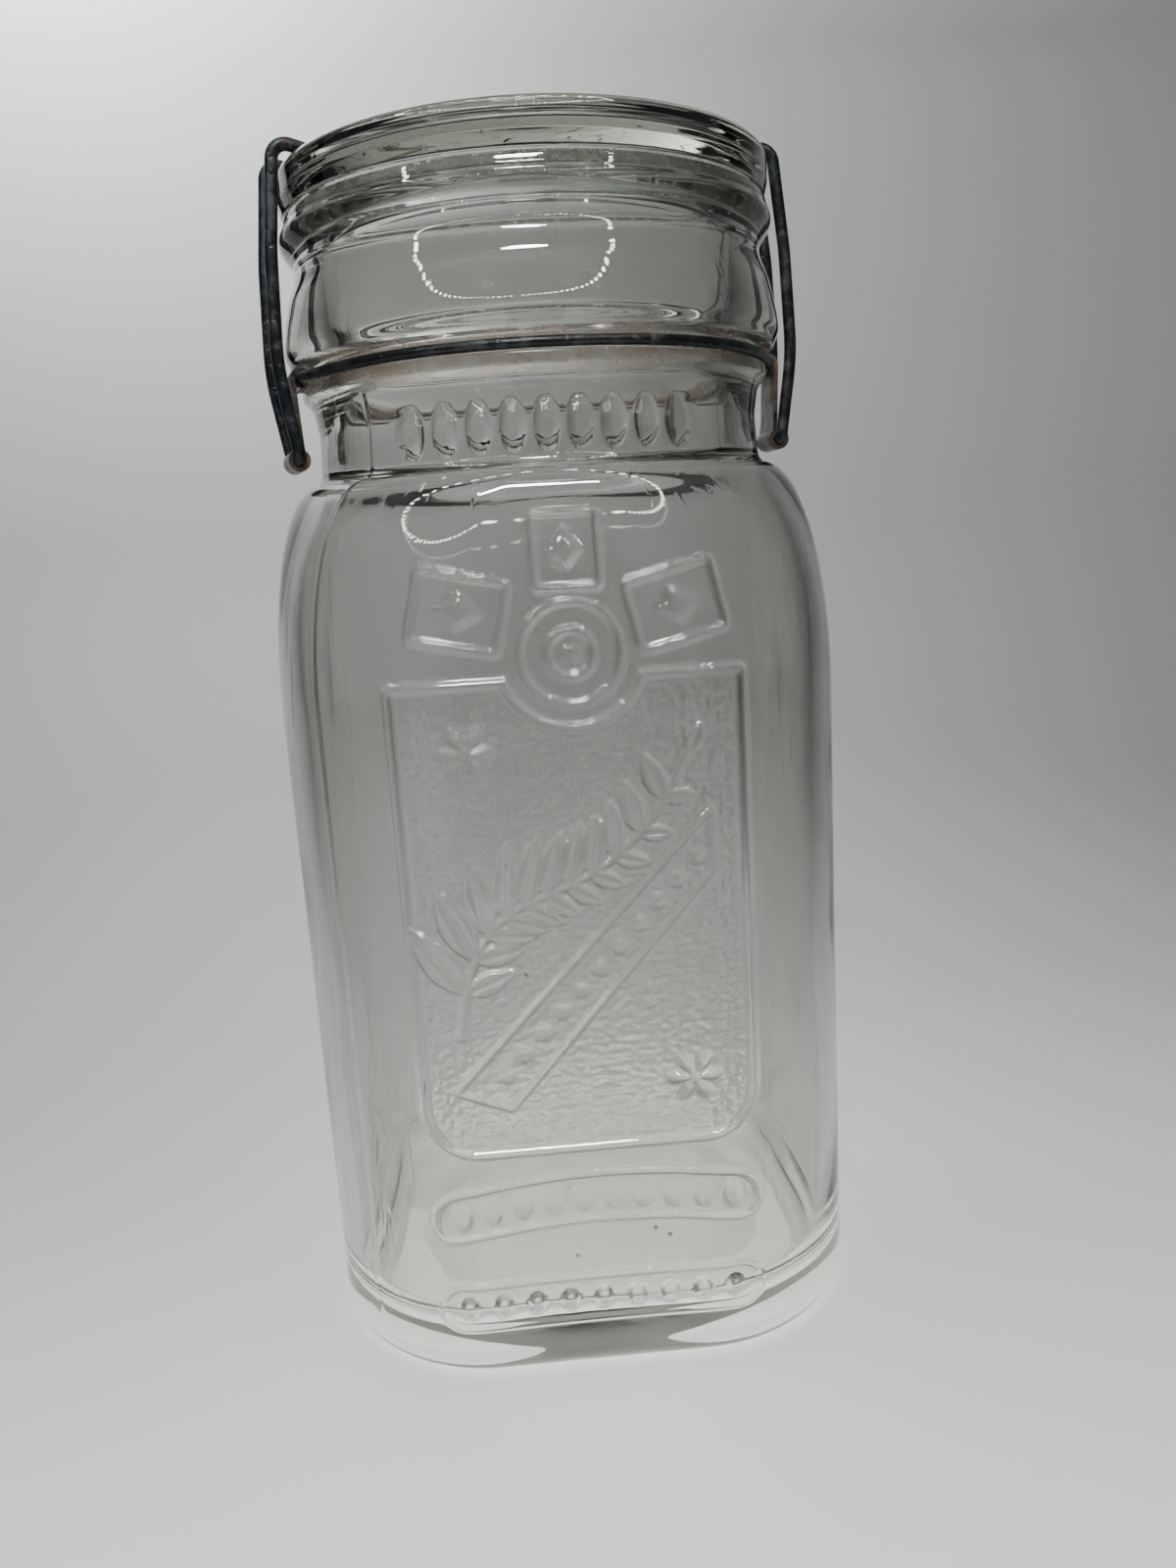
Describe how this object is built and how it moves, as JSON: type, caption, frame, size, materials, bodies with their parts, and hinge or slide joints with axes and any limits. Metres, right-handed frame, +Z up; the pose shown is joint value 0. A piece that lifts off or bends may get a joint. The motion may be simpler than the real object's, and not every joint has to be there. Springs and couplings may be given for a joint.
{
  "type": "preserving jar",
  "caption": "Square clear-glass preserving jar with a round wide neck, a glass lid on a rubber ring, and a bowed wire clamp on each side.",
  "frame": {"origin": "centre of the base, on the surface that the jar stands on", "axes": "+Z up the jar to the lid; the embossed front face looks along -Y; the clamps stand near -X and +X"},
  "size_m": [0.09, 0.09, 0.1945],
  "materials": {
    "jar_glass": "clear pressed glass with a faint green cast",
    "lid_glass": "clear pressed glass",
    "ring_rubber": "matt, aged, milky",
    "wire_steel": "blue-black patina",
    "strap_steel": "brown rust patina"
  },
  "bodies": {
    "jar": {"glass_jar": "jar_glass", "seal_ring": "ring_rubber", "neck_wire": "wire_steel"},
    "lid": {"glass_lid": "lid_glass"},
    "left_strap": {"left_strap": "strap_steel"},
    "left_clamp": {"left_clamp": "wire_steel"},
    "right_strap": {"right_strap": "strap_steel"},
    "right_clamp": {"right_clamp": "wire_steel"}
  },
  "joints": [
    {"name": "left_strap_swing", "type": "hinge", "parent": "jar", "child": "left_strap", "pos_m": [-0.03845, -0.01103, 0.1602], "axis": [-0.2756, 0.9613, 0], "range_deg": [0, 105]},
    {"name": "left_clamp_swing", "type": "hinge", "parent": "left_strap", "child": "left_clamp", "pos_m": [-0.0398, -0.01141, 0.1477], "axis": [0.2756, -0.9613, 0], "range_deg": [0, 238.36]},
    {"name": "right_strap_swing", "type": "hinge", "parent": "jar", "child": "right_strap", "pos_m": [0.03995, 0.00209, 0.1602], "axis": [0.0523, -0.9986, 0], "range_deg": [0, 105]},
    {"name": "right_clamp_swing", "type": "hinge", "parent": "right_strap", "child": "right_clamp", "pos_m": [0.04134, 0.00217, 0.1477], "axis": [-0.0523, 0.9986, 0], "range_deg": [0, 238.36]},
    {"name": "lid_lift", "type": "slide", "parent": "jar", "child": "lid", "axis": [0, 0, 1], "range_m": [0, 0.0129]}
  ],
  "couplings": [
    {"joint": "left_clamp_swing", "follows": "left_strap_swing", "ratio": 2.27},
    {"joint": "right_strap_swing", "follows": "left_strap_swing", "ratio": 1},
    {"joint": "right_clamp_swing", "follows": "left_strap_swing", "ratio": 2.27},
    {"joint": "lid_lift", "follows": "left_strap_swing", "m_per_rad": 0.007}
  ]
}
